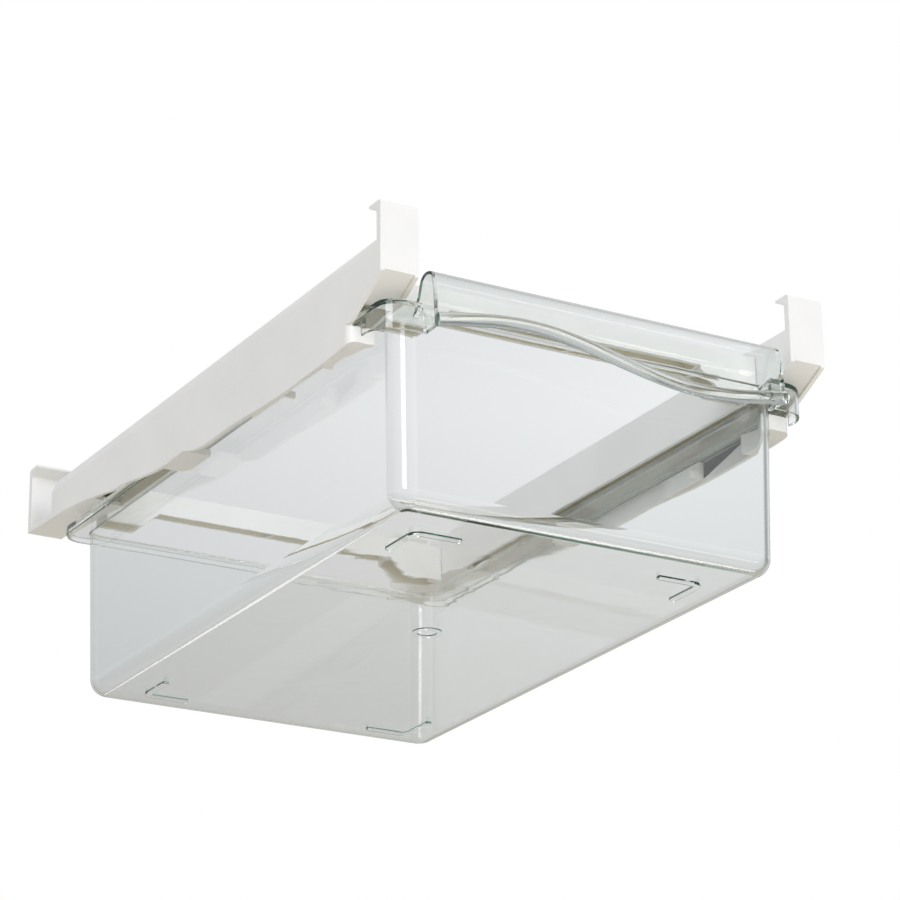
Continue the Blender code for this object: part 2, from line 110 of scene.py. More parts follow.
# Sizes of the drawer
side_play = 1.2 * mm
flange_reach = 11.1 * mm
flange_wall = 1.8 * mm
lip_height = 4.3 * mm
lip_wall = 1.2 * mm
slide_gap = 0.4 * mm
tub_front_reach = 11.7 * mm
tub_rear_reach = 7.3 * mm
tub_wall = 1.8 * mm
tub_floor = 2.0 * mm
tub_draft = 1.25
tub_corner = 9.0 * mm
tub_bottom_radius = 7.0 * mm
flange_rear_corner = 10.0 * mm
skirt_front_reach = 7.6 * mm
skirt_corner = 12.5 * mm
skirt_end_gap = 3.8 * mm
skirt_side_drop = 10.1 * mm
skirt_front_drop = 10.8 * mm
skirt_rise = 1.8 * mm
skirt_proud = 0.02 * mm
skirt_ramp_start = 3.3 * mm
skirt_ramp_length = 7.5 * mm
drawer_travel = 200.0 * mm
handle_width = 161.0 * mm
handle_wall = 1.8 * mm
handle_crown_wall = 1.1 * mm
handle_height = 13.8 * mm
handle_reach = 18.0 * mm
handle_wave_height = 4.8 * mm
handle_wave_length = 152.0 * mm
handle_wave_middle = 12.1 * mm
handle_wave_shift = 38.1 * mm
handle_wave_tilt = 3.0 * mm
handle_end_lift = 1.0 * mm
handle_end_edge = 0.6 * mm
bead_height = 5.6 * mm
bead_thickness = 4.0 * mm
foot_height = 1.2 * mm
foot_bar = 2.8 * mm
foot_leg_long = 23.0 * mm
foot_leg_short = 22.0 * mm
foot_corner = 5.0 * mm
foot_side_inset = 21.4 * mm
foot_front_inset = 25.1 * mm
foot_rear_inset = 19.3 * mm
gate_outer = 12.4 * mm
gate_inner = 8.6 * mm
gate_height = 0.5 * mm
gate_offset = 13.8 * mm
rim_edge = 0.6 * mm

# How finely curves are cut
corner_steps = 14
fillet_steps = 8
edge_steps = 3
wave_steps = 120
bead_sides = 24
curve_steps = 5

# How a finished mesh is cleaned, rounded and shaded; angles are in degrees
merge_distance = weld / 100
flat_angle = 0.05
frame_sharp_angle = 35
frame_edge_segments = 3
drawer_sharp_angle = 30
area_weight = 100

# Places that follow from the sizes
half_width = frame_width / 2
rail_inner = half_width - rail_width
panel_inner = half_width - frame_wall
half_span = crossbar_span / 2
hook_face = -half_span - rail_front_reach
panel_rear = half_span + rail_rear_reach
rear_back = half_span + rail_back_reach
guide_z = drawer_height + guide_gap
rail_top = guide_z + rail_inner_height
hook_bottom = rail_top - hook_drop
slot_top = rail_top + shelf_slot
hook_top = slot_top + hook_lip_height
slide_z = drawer_height - lip_height - slide_gap
block_face = -half_span - block_setback
slant_foot = hook_bottom - slant_drop
flange_half = panel_inner - side_play
tub_half_top = flange_half - flange_reach
tub_front_top = -half_span - tub_front_reach
tub_rear_top = half_span + tub_rear_reach
flange_rear = tub_rear_top + flange_wall
skirt_front = tub_front_top - skirt_front_reach
skirt_end = block_face - skirt_end_gap
draft_slope = math.tan(math.radians(tub_draft))
handle_half = handle_width / 2
handle_face = tub_front_top - handle_reach
bead_front = handle_face - bead_thickness / 2
rail_stop_y = block_face + stop_setback
drawer_stop_y = rail_stop_y + fit_gap + drawer_travel
bar_bottom = drawer_height + bar_lift
bar_top = bar_bottom + bar_end_height
into_frame = Matrix.Translation((0, -(bead_front + rear_back) / 2, foot_height))

# The camera, fitted to the photograph's view
camera_place = (-0.6668, -1.1904, -0.4349)
camera_azimuth = -30.05
camera_elevation = -20.97
camera_roll = -0.56
camera_lens = 136.0
camera_sensor = 36.0
clip_near = 0.05
clip_far = 100.0

# The white plastic; every colour is linear red, green, blue and opacity
white_dull = (0.880, 0.878, 0.868, 1)
white_bright = (0.922, 0.920, 0.914, 1)
# Painted shade: the warm tan that recesses are coloured with, standing in for shade and warm bounced light
white_painted_recess_shade = (0.80, 0.71, 0.46, 1)
white_roughness = (0.34, 0.44)
white_flow_scale = 28
white_flow_detail = 3
white_flow_depth = 0.15 * mm
white_grain_scale = 2600
white_grain_detail = 2
white_grain_depth = 0.01 * mm
# The painted recess shade: how far it looks for nearby parts, over what openness it fades out, and how many
# rays it uses
painted_shade_reach = 20.0 * mm
painted_shade_span = (0.05, 0.72)
painted_shade_samples = 8

# The clear plastic; what is seen edge on takes a deeper, nearly black-green colour, partly the plastic's
# own tint along the longer path and partly painted shade for its dark outlines
clear_face = (0.985, 0.995, 0.99, 1)
clear_edge_tint_and_shade = (0.10, 0.15, 0.125, 1)
clear_edge_shade_span = (0.72, 0.88)
clear_roughness = (0.0, 0.03)
clear_flow_scale = 45
clear_flow_detail = 2
clear_flow_depth = 0.04 * mm
clear_inside = (0.76, 0.85, 0.82, 1)
clear_density = 30.0
clear_shadow = (0.975, 0.98, 0.978, 1)

# Both plastics
plastic_ior = 1.5
noise_span = (0.35, 0.65)

# The floor, far below the hanging part
floor_color = (0.86, 0.81, 0.71, 1)
floor_roughness = 0.9
floor_level = -2.5
floor_reach = 60.0

# The room's light; stops go from straight down, 0, to straight up, 1, and spans are of a direction's
# x, y or z
room_stops = [
    (0.0, (0.60, 0.59, 0.56, 1)),
    (0.50, (0.62, 0.625, 0.63, 1)),
    (0.64, (0.68, 0.685, 0.70, 1)),
    (0.685, (0.87, 0.875, 0.895, 1)),
    (0.84, (0.58, 0.585, 0.59, 1)),
    (1.0, (0.50, 0.505, 0.51, 1)),
]
seen_stops = [(0.50, (0.88, 0.88, 0.87, 1)), (0.58, (1, 1, 1, 1))]
whole_span = (-1, 1)
behind_span = (0.3, 0.6)
behind_side_span = (0.38, 0.52)
behind_levels = (0.86, 1.06)
ahead_span = (-0.75, -0.45)
ahead_shade = (0.45, 0.45, 0.46, 1)
beside_span = (0.80, 0.92)
beside_shade = (0.50, 0.51, 0.51, 1)

# The lights: name, place, width, height, watts, colour, and the kinds of ray that don't see it
light_target = (0, 0, 50.0 * mm)
light_bounces = 128
softboxes = [
    ("key", (-1.48, -1.76, 1.45), 1.0, 1.6, 24, (0.93, 0.96, 1.0), ()),
    ("front", (0.2, -2.5, 0.35), 1.2, 1.2, 21, (0.96, 0.97, 1.0), ("glossy", "transmission")),
    ("fill", (-0.95, -0.35, 2.45), 0.9, 1.4, 5, (0.92, 0.955, 1.0), ()),
    ("bounce", (1.2, -1.7, -1.5), 0.9, 0.4, 3, (1.0, 0.93, 0.80), ("glossy",)),
    ("low", (-0.7, -1.6, -1.6), 0.9, 0.9, 5, (1.0, 0.93, 0.78), ("glossy", "transmission")),
    ("front_line", (1.12, 0.45, -1.85), 0.5, 0.45, 4.5, (1, 1, 1), ("diffuse", "transmission")),
    ("side_line", (0.75, 2.11, -1.03), 0.4, 0.4, 1.2, (1, 1, 1), ("diffuse", "transmission")),
]


def add_camera():
    azimuth = math.radians(camera_azimuth)
    elevation = math.radians(camera_elevation)
    roll = math.radians(camera_roll)
    back = Vector((
        math.sin(azimuth) * math.cos(elevation),
        -math.cos(azimuth) * math.cos(elevation),
        math.sin(elevation),
    ))
    level = Vector((math.cos(azimuth), math.sin(azimuth), 0))
    upright = back.cross(level)
    right = level * math.cos(roll) + upright * math.sin(roll)
    up = upright * math.cos(roll) - level * math.sin(roll)
    data = bpy.data.cameras.new("camera")
    data.lens = camera_lens
    data.sensor_width = camera_sensor
    data.clip_start = clip_near
    data.clip_end = clip_far
    camera = bpy.data.objects.new("camera", data)
    camera.matrix_world = Matrix.Translation(camera_place) @ Matrix((right, up, back)).transposed().to_4x4()
    bpy.context.scene.collection.objects.link(camera)
    bpy.context.scene.camera = camera


add_camera()


# Mesh tools


def object_from(name, bm):
    mesh = bpy.data.meshes.new(name)
    bm.to_mesh(mesh)
    bm.free()
    obj = bpy.data.objects.new(name, mesh)
    bpy.context.scene.collection.objects.link(obj)
    return obj


def loft(name, rings, closed=False):
    # Rings of equal length joined in order, then back to the first or with a flat cap on both ends.
    bm = bmesh.new()
    loops = [[bm.verts.new(point) for point in ring] for ring in rings]
    following = loops[1:] + loops[:1] if closed else loops[1:]
    count = len(loops[0])
    for lower, upper in zip(loops, following):
        for i in range(count):
            j = (i + 1) % count
            bm.faces.new((lower[i], lower[j], upper[j], upper[i]))
    if not closed:
        bm.faces.new(list(reversed(loops[0])))
        bm.faces.new(loops[-1])
    bmesh.ops.recalc_face_normals(bm, faces=bm.faces)
    return object_from(name, bm)


def prism(name, axis, outline, start, end):
    # An outline swept straight along one axis; its pairs are (y, z), (x, z) or (x, y).
    place = {
        "X": lambda a, b, c: (c, a, b),
        "Y": lambda a, b, c: (a, c, b),
        "Z": lambda a, b, c: (a, b, c),
    }[axis]
    return loft(name, [[place(a, b, level) for a, b in outline] for level in (start, end)])


def block(name, x, y, z):
    outline = [(x[0], y[0]), (x[1], y[0]), (x[1], y[1]), (x[0], y[1])]
    return prism(name, "Z", outline, z[0], z[1])


def fillet(points, radii, steps=corner_steps):
    # The closed outline with each corner that has a radius turned into an arc.
    result = []
    count = len(points)
    for i, radius in enumerate(radii):
        corner = Vector(points[i])
        if radius == 0:
            result.append(tuple(corner))
            continue
        back = (Vector(points[i - 1]) - corner).normalized()
        ahead = (Vector(points[(i + 1) % count]) - corner).normalized()
        half = back.angle(ahead) / 2
        centre = corner + (back + ahead).normalized() * (radius / math.sin(half))
        first = corner + back * (radius / math.tan(half)) - centre
        last = corner + ahead * (radius / math.tan(half)) - centre
        turn = math.atan2(first.cross(last), first.dot(last))
        for step in range(steps + 1):
            angle = turn * step / steps
            spoke = Vector((
                first.x * math.cos(angle) - first.y * math.sin(angle),
                first.x * math.sin(angle) + first.y * math.cos(angle),
            ))
            result.append(tuple(centre + spoke))
    return result


def smooth_curve(points, steps=curve_steps):
    # A soft open curve through the points, with steps pieces between each two.
    result = []
    last = len(points) - 1
    for i in range(last):
        p0 = Vector(points[max(i - 1, 0)])
        p1 = Vector(points[i])
        p2 = Vector(points[i + 1])
        p3 = Vector(points[min(i + 2, last)])
        for step in range(steps):
            t = step / steps
            point = (p1 * 2 + (p2 - p0) * t + (p0 * 2 - p1 * 5 + p2 * 4 - p3) * t * t
                     + (p1 * 3 - p0 - p2 * 3 + p3) * t ** 3) / 2
            result.append(tuple(point))
    result.append(tuple(points[-1]))
    return result


def quarter_turn(steps):
    # The angles of a quarter of a circle, both ends included.
    return [math.radians(90) * step / steps for step in range(steps + 1)]


def rim_steps():
    # A rim's rounding as pairs: one distance fades from the full radius as the other grows to it.
    return [(rim_edge * (1 - math.sin(turn)), rim_edge * (1 - math.cos(turn)))
            for turn in quarter_turn(edge_steps)]


def combine(target, tool, operation):
    # Joins the tool to the target or cuts it out, and uses it up.
    modifier = target.modifiers.new(operation.title(), "BOOLEAN")
    modifier.operation = operation
    modifier.solver = "MANIFOLD"
    modifier.object = tool
    bpy.context.view_layer.update()
    result = target.evaluated_get(bpy.context.evaluated_depsgraph_get())
    mesh = bpy.data.meshes.new_from_object(result)
    target.modifiers.clear()
    target.data = mesh
    bpy.data.objects.remove(tool, do_unlink=True)


def add(target, tool):
    combine(target, tool, "UNION")


def cut(target, tool):
    combine(target, tool, "DIFFERENCE")


def mirrored(source, name, signs):
    # A reflected copy, with its faces turned back to point outwards.
    bm = bmesh.new()
    bm.from_mesh(source.data)
    bmesh.ops.scale(bm, vec=signs, verts=bm.verts)
    bmesh.ops.reverse_faces(bm, faces=bm.faces)
    return object_from(name, bm)


def soften(obj, sharp_angle, edge=0):
    # Joins what the cuts left apart, rounds the sharp edges and shades flat faces flat.
    bm = bmesh.new()
    bm.from_mesh(obj.data)
    bmesh.ops.remove_doubles(bm, verts=bm.verts, dist=merge_distance)
    bmesh.ops.dissolve_limit(bm, angle_limit=math.radians(flat_angle), verts=bm.verts, edges=bm.edges)
    bm.to_mesh(obj.data)
    bm.free()
    obj.data.shade_smooth()
    if edge > 0:
        bevel = obj.modifiers.new("Edges", "BEVEL")
        bevel.width = edge
        bevel.segments = frame_edge_segments
        bevel.limit_method = "ANGLE"
        bevel.angle_limit = math.radians(sharp_angle)
        bevel.use_clamp_overlap = True
        bevel.miter_outer = "MITER_ARC"
    else:
        obj.data.set_sharp_from_angle(angle=math.radians(sharp_angle))
    weighted = obj.modifiers.new("Shading", "WEIGHTED_NORMAL")
    weighted.mode = "FACE_AREA_WITH_ANGLE"
    weighted.weight = area_weight
    weighted.keep_sharp = True
    bpy.context.view_layer.update()
    result = obj.evaluated_get(bpy.context.evaluated_depsgraph_get())
    mesh = bpy.data.meshes.new_from_object(result)
    obj.modifiers.clear()
    obj.data = mesh
    obj.data.transform(into_frame)


# Rails, built on the +X side and mirrored for the other


def slant_at(z, inset=0):
    # The y of the slanted front line at height z, moved square into the rail by inset.
    run = block_face - hook_face
    stretch = math.hypot(run, slant_drop) / slant_drop
    return hook_face + run * (hook_bottom - z) / slant_drop + inset * stretch


def rear_underside():
    # The rear plate rises from the guide edge to the foot of the rear hook.
    start = rear_back - rear_plate_run
    underside_shares = [(0.0, 0.0), (0.07, 0.18), (0.40, 0.64), (0.60, 0.78), (0.957, 1.0), (1.0, 1.0)]
    return [(start + rear_plate_run * run, guide_z + rear_plate_rise * rise)
            for run, rise in underside_shares]


def hook_lip(face, direction):
    # The lip that turns in over the hook's slot, thick at the wall and thin at its tip.
    tip = face + direction * hook_lip_reach
    inner = face + direction * hook_wall
    return [(face, hook_top), (tip, hook_top), (tip, hook_top - hook_lip_tip), (inner, slot_top)]


def rail_body():
    underside = rear_underside()
    plate_top = underside[-1][1] + frame_wall
    rear_lip = hook_lip(rear_back, -1)
    front_lip = hook_lip(hook_face, 1)
    outline = [(hook_face, hook_bottom), (slant_at(guide_z), guide_z)]
    outline += underside
    radii = [hook_corner / 2] + [0] * len(underside) + [0]
    outline += rear_lip
    radii += [hook_corner, 0, 0, 0]
    outline += [(rear_lip[3][0], plate_top), (panel_rear, plate_top), (panel_rear, rail_top)]
    radii += [0, 0, rail_rear_corner]
    outline += [(front_lip[3][0], rail_top), front_lip[3], front_lip[2], front_lip[1], front_lip[0]]
    radii += [0, 0, 0, 0, hook_corner]
    return prism("rail", "X", fillet(outline, radii), rail_inner, half_width)


def rail_cavity():
    # Open from below between the slanted web and the rear plate.
    web = slant_recess + frame_wall
    roof = rail_top - frame_wall
    rear_wall = panel_rear - frame_wall
    underside = [(y, z + frame_wall) for y, z in rear_underside() if y < rear_wall]
    plate_start = rear_back - rear_plate_run
    rise_end = underside[-1][1]
    outline = [
        (slant_at(guide_z, web) + overrun, guide_z - overrun),
        (slant_at(guide_z, web), guide_z),
        (slant_at(hook_bottom + web, web), hook_bottom + web),
        (slant_at(hook_bottom + web, web), roof),
        (rear_wall, roof),
        (rear_wall, rise_end + frame_wall),
    ]
    outline += list(reversed(underside))
    outline += [(plate_start, guide_z - overrun)]
    return prism("cavity", "X", outline, rail_inner + frame_wall, panel_inner)


def slant_pocket():
    # The slanted web lies back from the edges of the two side walls.
    low = guide_z - overrun
    high = hook_bottom + slant_recess
    outline = [
        (slant_at(high) - overrun, high),
        (slant_at(low) - overrun, low),
        (slant_at(low, slant_recess), low),
        (slant_at(high, slant_recess), high),
    ]
    return prism("pocket", "X", outline, rail_inner + frame_wall, panel_inner)


def panel_skirt():
    # The outer panel hangs below the guide edge; its lower edge follows a gentle stepped line.
    lower_edge_shares = [
        (0.0, 0.0), (0.03, -0.08), (0.108, -0.13), (0.26, -0.155), (0.37, -0.05), (0.43, 0.0), (0.54, 0.01),
        (0.588, 0.17), (0.617, 0.29), (0.693, 0.27), (0.78, 0.455), (0.86, 0.67), (0.90, 0.71), (1.0, 1.0),
    ]
    end = rear_back - rear_plate_run
    foot = slide_z - block_depth
    run = end - block_face
    rise = guide_z - foot
    outline = [(block_face + run * a, foot + rise * b) for a, b in smooth_curve(lower_edge_shares)]
    outline += [(end, guide_z + overrun), (slant_at(guide_z + overrun), guide_z + overrun)]
    outline += [(block_face, slant_foot)]
    return prism("panel", "X", outline, panel_inner, half_width)


def front_ledge():
    # The block at the mouth, with a ledge that narrows behind it.
    foot = slide_z - block_depth
    low = slide_z - ledge_depth
    rear = block_face + block_length
    side = [(block_face, foot), (block_face + block_corner * 2, low + weld), (rear, low)]
    side += [(rear, slide_z), (block_face, slide_z)]
    inner = half_width - block_width
    ledge = prism("ledge", "X", side, inner, panel_inner + weld)
    reach = block_width - ledge_width
    run = block_length - tab_rib_thickness
    ledge_curve_shares = [(0.0, 0.0), (0.08, 0.42), (0.26, 0.68), (0.46, 0.92), (0.68, 1.0), (0.90, 0.88),
                          (1.0, 0.70)]
    curve = [(inner + reach * b, block_face + tab_rib_thickness + run * a)
             for a, b in smooth_curve(ledge_curve_shares)]
    plan = [(inner - overrun, curve[0][1])] + curve
    plan += [(curve[-1][0], rear + overrun), (inner - overrun, rear + overrun)]
    cut(ledge, prism("curve", "Z", plan, low - overrun, slide_z + overrun))
    return ledge


def front_tab():
    start = block_face + front_tab_start
    side = [(start, slide_z - front_tab_depth), (start + front_tab_length, slide_z - front_tab_depth)]
    side += [(start + front_tab_length, slide_z), (start, slide_z)]
    tab = prism("front_tab", "X", side, half_width - front_tab_width, panel_inner + weld)
    rib_z = slide_z - front_tab_depth
    rib = block("rib", (half_width - tab_rib_reach, panel_inner + weld), (start, start + tab_rib_thickness),
                (rib_z, rib_z + tab_rib_height))
    add(tab, rib)
    return tab


def rear_tab():
    start = block_face + rear_tab_start
    end = start + rear_tab_length
    inner = half_width - rear_tab_width
    outer = panel_inner + weld
    plan = [(inner, start), (outer, start), (outer, end), (inner, end)]
    plan = fillet(plan, [0, 0, 0, rear_tab_corner])
    return prism("rear_tab", "Z", plan, slide_z - rear_tab_depth, slide_z)


def rail_stop():
    # The nib that the drawer's stop rib meets when the drawer is pulled right out.
    low = drawer_height - lip_height
    return block("stop", (panel_inner - stop_reach, panel_inner + weld),
                 (rail_stop_y - stop_thickness, rail_stop_y), (low, low + stop_height))


def top_chamfer():
    outline = [
        (half_width - top_chamfer_width, rail_top),
        (half_width, rail_top - top_chamfer_height),
        (half_width + overrun, rail_top - top_chamfer_height),
        (half_width + overrun, rail_top + overrun),
        (half_width - top_chamfer_width, rail_top + overrun),
    ]
    return prism("chamfer", "Y", outline, hook_face + hook_wall, panel_rear + overrun)


def block_rounding():
    # Takes the sharp outer corner off the mouth block.
    past = half_width + overrun
    ahead = block_face - overrun
    leg = block_corner + overrun
    corner = [(half_width - leg, block_face), (half_width, block_face), (half_width, block_face + leg)]
    arc = fillet(corner, [0, block_corner, 0])[1:-1]
    outline = arc + [(past, block_face + block_corner), (past, ahead)]
    outline += [(half_width - block_corner, ahead)]
    return prism("rounding", "Z", outline, slide_z - ledge_depth - overrun, slant_foot)


def tongue_slot(bar_y):
    middle = bar_top - tongue_inset - tongue_height / 2
    half_depth = tongue_depth / 2 + fit_gap
    half_height = tongue_height / 2 + fit_gap
    return block("slot", (rail_inner - overrun, rail_inner + frame_wall + overrun),
                 (bar_y - half_depth, bar_y + half_depth), (middle - half_height, middle + half_height))


def bar_middle(side):
    return side * (half_span - bar_depth / 2)


def make_rail():
    rail = rail_body()
    cut(rail, rail_cavity())
    cut(rail, slant_pocket())
    add(rail, panel_skirt())
    add(rail, front_ledge())
    add(rail, front_tab())
    add(rail, rear_tab())
    cut(rail, block_rounding())
    cut(rail, top_chamfer())
    add(rail, rail_stop())
    for side in (-1, 1):
        cut(rail, tongue_slot(bar_middle(side)))
    return rail


# Crossbars, built for the front and mirrored for the rear


def bar_hollow(x):
    return block("hollow", x, (-half_span + bar_wall, -half_span + bar_depth - bar_wall),
                 (bar_bottom - overrun, bar_top - bar_wall))


def make_crossbar():
    end = rail_inner - fit_gap
    step_out = end - bar_end_length
    step_in = step_out - bar_step_length
    middle_z = bar_top - bar_height
    outline = [
        (-end, bar_top), (-end, bar_bottom), (-step_out, bar_bottom), (-step_in, middle_z),
        (step_in, middle_z), (step_out, bar_bottom), (end, bar_bottom), (end, bar_top),
    ]
    bar = prism("crossbar", "Y", outline, -half_span, -half_span + bar_depth)
    rake = [
        (-half_span - overrun, middle_z - overrun),
        (-half_span + bar_depth, middle_z - overrun),
        (-half_span + bar_depth, middle_z),
        (-half_span, middle_z + bar_bottom_rake),
        (-half_span - overrun, middle_z + bar_bottom_rake),
    ]
    cut(bar, prism("rake", "X", rake, -step_in + weld, step_in - weld))
    tongue_y = (bar_middle(-1) - tongue_depth / 2, bar_middle(-1) + tongue_depth / 2)
    tongue_top = bar_top - tongue_inset
    tip = rail_inner + tongue_length
    for side in (-1, 1):
        cut(bar, bar_hollow(sorted((side * bar_wall / 2, side * (step_in - bar_wall)))))
        cut(bar, bar_hollow(sorted((side * step_in, side * (end - bar_wall)))))
        tongue_x = sorted((side * (end - bar_wall / 2), side * tip))
        add(bar, block("tongue", tongue_x, tongue_y, (tongue_top - tongue_height, tongue_top)))
    return bar


# Drawer


def rounded(x, front, rear, front_radius, rear_radius, z):
    # A level ring: a rectangle with one radius at its two front corners and one at its two rear ones.
    corners = [(-x, front), (x, front), (x, rear), (-x, rear)]
    radii = [front_radius, front_radius, rear_radius, rear_radius]
    return [(a, b, z) for a, b in fillet(corners, radii)]


def tub_ring(z, inset, radius):
    # The drafted tub's outline at height z, moved in by inset.
    slope = draft_slope * (drawer_height - z) + inset
    return rounded(tub_half_top - slope, tub_front_top + slope, tub_rear_top - slope, radius, radius, z)


def flange_ring(inset, z):
    return rounded(flange_half - inset, skirt_front + inset, flange_rear - inset,
                   skirt_corner - inset, flange_rear_corner - inset, z)


def bowl_rings(inset, floor, bottom_radius, top):
    # From the floor's edge up round the bottom fillet to the top.
    rings = []
    for turn in quarter_turn(fillet_steps):
        pull = bottom_radius * (1 - math.sin(turn))
        z = floor + bottom_radius * (1 - math.cos(turn))
        rings.append(tub_ring(z, inset + pull, max(tub_corner - inset - pull, tub_wall / 2)))
    rings.append(tub_ring(top, inset, tub_corner - inset))
    return rings


def corner_rise(y):
    # The flange's edge stands higher at the front and ramps down to the sides.
    share = (y - skirt_front - skirt_ramp_start) / skirt_ramp_length
    return skirt_rise * (1 + math.cos(math.pi * min(max(share, 0), 1))) / 2


def raised(ring):
    return [(x, y, z + corner_rise(y)) for x, y, z in ring]


def lip_rings():
    # From the flange's top over its rounded edge, down the lip, round its foot and back up inside.
    low = drawer_height - lip_height
    under = drawer_height - flange_wall
    rings = [flange_ring(fade, drawer_height - grow) for fade, grow in rim_steps()]
    rings += [flange_ring(grow, low + fade) for fade, grow in rim_steps()]
    rings += [flange_ring(lip_wall - fade, low + grow) for fade, grow in rim_steps()]
    rings += [flange_ring(lip_wall + grow, under - fade) for fade, grow in rim_steps()]
    return [raised(ring) for ring in rings]


def tub():
    # One closed skin: inside floor and walls, over the rim and flange, and down the outside.
    under = drawer_height - flange_wall
    inner_radius = tub_bottom_radius - tub_wall
    rings = bowl_rings(tub_wall, tub_floor, inner_radius, drawer_height - rim_edge)
    rings += [tub_ring(drawer_height - fade, tub_wall - grow, tub_corner - tub_wall + grow)
              for fade, grow in rim_steps()[1:]]
    rings += lip_rings()
    rings += [tub_ring(under - grow, -fade, tub_corner + fade) for fade, grow in rim_steps()]
    rings += reversed(bowl_rings(0, 0, tub_bottom_radius, under - overrun))
    return loft("drawer", rings)


def skirt_low(y):
    # The lower edge of the corner skirts drops a little towards the front.
    share = (y - skirt_end) / (skirt_front - skirt_end)
    return drawer_height - skirt_side_drop - (skirt_front_drop - skirt_side_drop) * share


def skirts():
    # The two front corner skirts, deeper than the lip, that wrap round to the handle.
    def low_ring(inset, lift):
        ring = flange_ring(inset - skirt_proud, 0)
        return [(x, y, skirt_low(min(y, skirt_end)) + lift) for x, y, z in ring]

    def high_ring(inset, drop):
        return raised(flange_ring(inset - skirt_proud, drawer_height - skirt_proud - drop))

    rings = [high_ring(fade, grow) for fade, grow in rim_steps()]
    rings += [low_ring(grow, fade) for fade, grow in rim_steps()]
    rings += [low_ring(lip_wall - fade, grow) for fade, grow in rim_steps()]
    rings += [high_ring(lip_wall - grow, fade) for fade, grow in rim_steps()]
    skirt = loft("skirt", rings, closed=True)
    wide = flange_half + overrun
    apart = handle_half - handle_wall / 2
    past = (drawer_height - skirt_front_drop - overrun, drawer_height + skirt_rise + overrun)
    cut(skirt, block("behind", (-wide, wide), (skirt_end, flange_rear + overrun), past))
    cut(skirt, block("middle", (-apart, apart), (skirt_front - overrun, skirt_front + skirt_corner), past))
    return skirt


def wave(x):
    # The height of the handle's lower edge at x.
    turn = 2 * math.pi * (x - handle_wave_shift) / handle_wave_length
    tilt = handle_wave_tilt * x / handle_width
    return drawer_height - handle_wave_middle - handle_wave_height * math.cos(turn) - tilt


def handle_profile(bottom):
    # The handle's section, (y, z): up from the tub wall, over the top and down the front plate.
    outer_shares = [(-0.085, -0.14), (-0.10, 0.0), (0.16, 0.40), (0.27, 0.78), (0.36, 0.93), (0.50, 1.0),
                    (0.64, 0.985), (0.74, 0.92), (0.80, 0.80), (0.86, 0.45), (0.905, 0.0)]
    crest = smooth_curve(outer_shares[1:])
    outer = [(tub_front_top - handle_reach * a, drawer_height + handle_height * b)
             for a, b in [outer_shares[0]] + crest]
    outer.append((handle_face + bead_thickness / 4, bottom))
    inner = []
    crown = len(outer) // 2
    for i in range(len(outer)):
        wall = handle_crown_wall + (handle_wall - handle_crown_wall) * max(i / crown - 1, 0)
        before = Vector(outer[max(i - 1, 0)])
        after = Vector(outer[min(i + 1, len(outer) - 1)])
        along = (after - before).normalized()
        inner.append((outer[i][0] - along.y * wall, outer[i][1] + along.x * wall))
    inner[0] = (tub_front_top + tub_wall / 4, outer[0][1])
    inner[1] = (tub_front_top - tub_wall / 2, outer[1][1] + tub_wall / 2)
    inner[-1] = (outer[-1][0] + handle_wall, bottom)
    return outer, inner


def handle_stations():
    # Places along the handle with how far its skin is pulled in there, which rounds both ends.
    ends = [(handle_half - handle_end_edge * (1 - math.cos(turn)), handle_end_edge * (1 - math.sin(turn)))
            for turn in quarter_turn(fillet_steps)[:-1]]
    reach = handle_half - handle_end_edge
    middle = [(reach * (2 * step / wave_steps - 1), 0) for step in range(wave_steps + 1)]
    return [(-x, pull) for x, pull in ends] + middle + list(reversed(ends))


def handle_shell():
    rings = []
    for x, pull in handle_stations():
        outer, inner = handle_profile(wave(x) + bead_height / 2)
        skin = [tuple(Vector(a).lerp(Vector(b), pull / handle_wall)) for a, b in zip(outer, inner)]
        rings.append([(x, y, z) for y, z in skin + list(reversed(inner))])
    return loft("handle", rings)


def handle_bead():
    # A rounded rib along the wavy lower edge, with softened ends.
    rings = []
    for x, pull in handle_stations():
        middle = wave(x) + bead_height / 2
        ring = []
        for side in range(bead_sides):
            angle = 2 * math.pi * side / bead_sides
            ring.append((x, handle_face + (bead_thickness / 2 - pull) * math.cos(angle),
                         middle + (bead_height / 2 - pull) * math.sin(angle)))
        rings.append(ring)
    return loft("bead", rings)


def handle_end(side):
    # The wall that closes the handle's end; below the flange it runs on from the corner skirt.
    x = sorted((side * handle_half, side * (handle_half - handle_wall)))
    bottom = wave(side * handle_half) + handle_end_lift
    outer, inner = handle_profile(bottom)
    outline = [((a[0] + b[0]) / 2, (a[1] + b[1]) / 2) for a, b in zip(outer, inner)]
    under = drawer_height - flange_wall / 2
    joint = skirt_front + flange_wall / 2
    outline[:2] = [(joint, bottom), (joint, under), (tub_front_top, under), (tub_front_top, drawer_height)]
    return prism("end", "X", outline, x[0], x[1])


def foot(side_x, corner_y, direction):
    # An L-shaped rib; its corner points to the tub's corner.
    x = side_x * (tub_half_top - foot_side_inset)
    legs = [
        (x, corner_y), (x, corner_y - direction * foot_leg_long),
        (x - side_x * foot_bar, corner_y - direction * foot_leg_long),
        (x - side_x * foot_bar, corner_y - direction * foot_bar),
        (x - side_x * foot_leg_short, corner_y - direction * foot_bar),
        (x - side_x * foot_leg_short, corner_y),
    ]
    radii = [foot_corner, foot_bar / 3, foot_bar / 3, foot_corner - foot_bar, foot_bar / 3, foot_bar / 3]
    return prism("foot", "Z", fillet(legs, radii, fillet_steps), -foot_height, tub_floor / 2)


def gate_disc(name, diameter, z0, z1):
    count = corner_steps * 4
    circle = []
    for i in range(count):
        angle = 2 * math.pi * i / count
        circle.append((diameter / 2 * math.cos(angle), diameter / 2 * math.sin(angle) - gate_offset))
    return prism(name, "Z", circle, z0, z1)


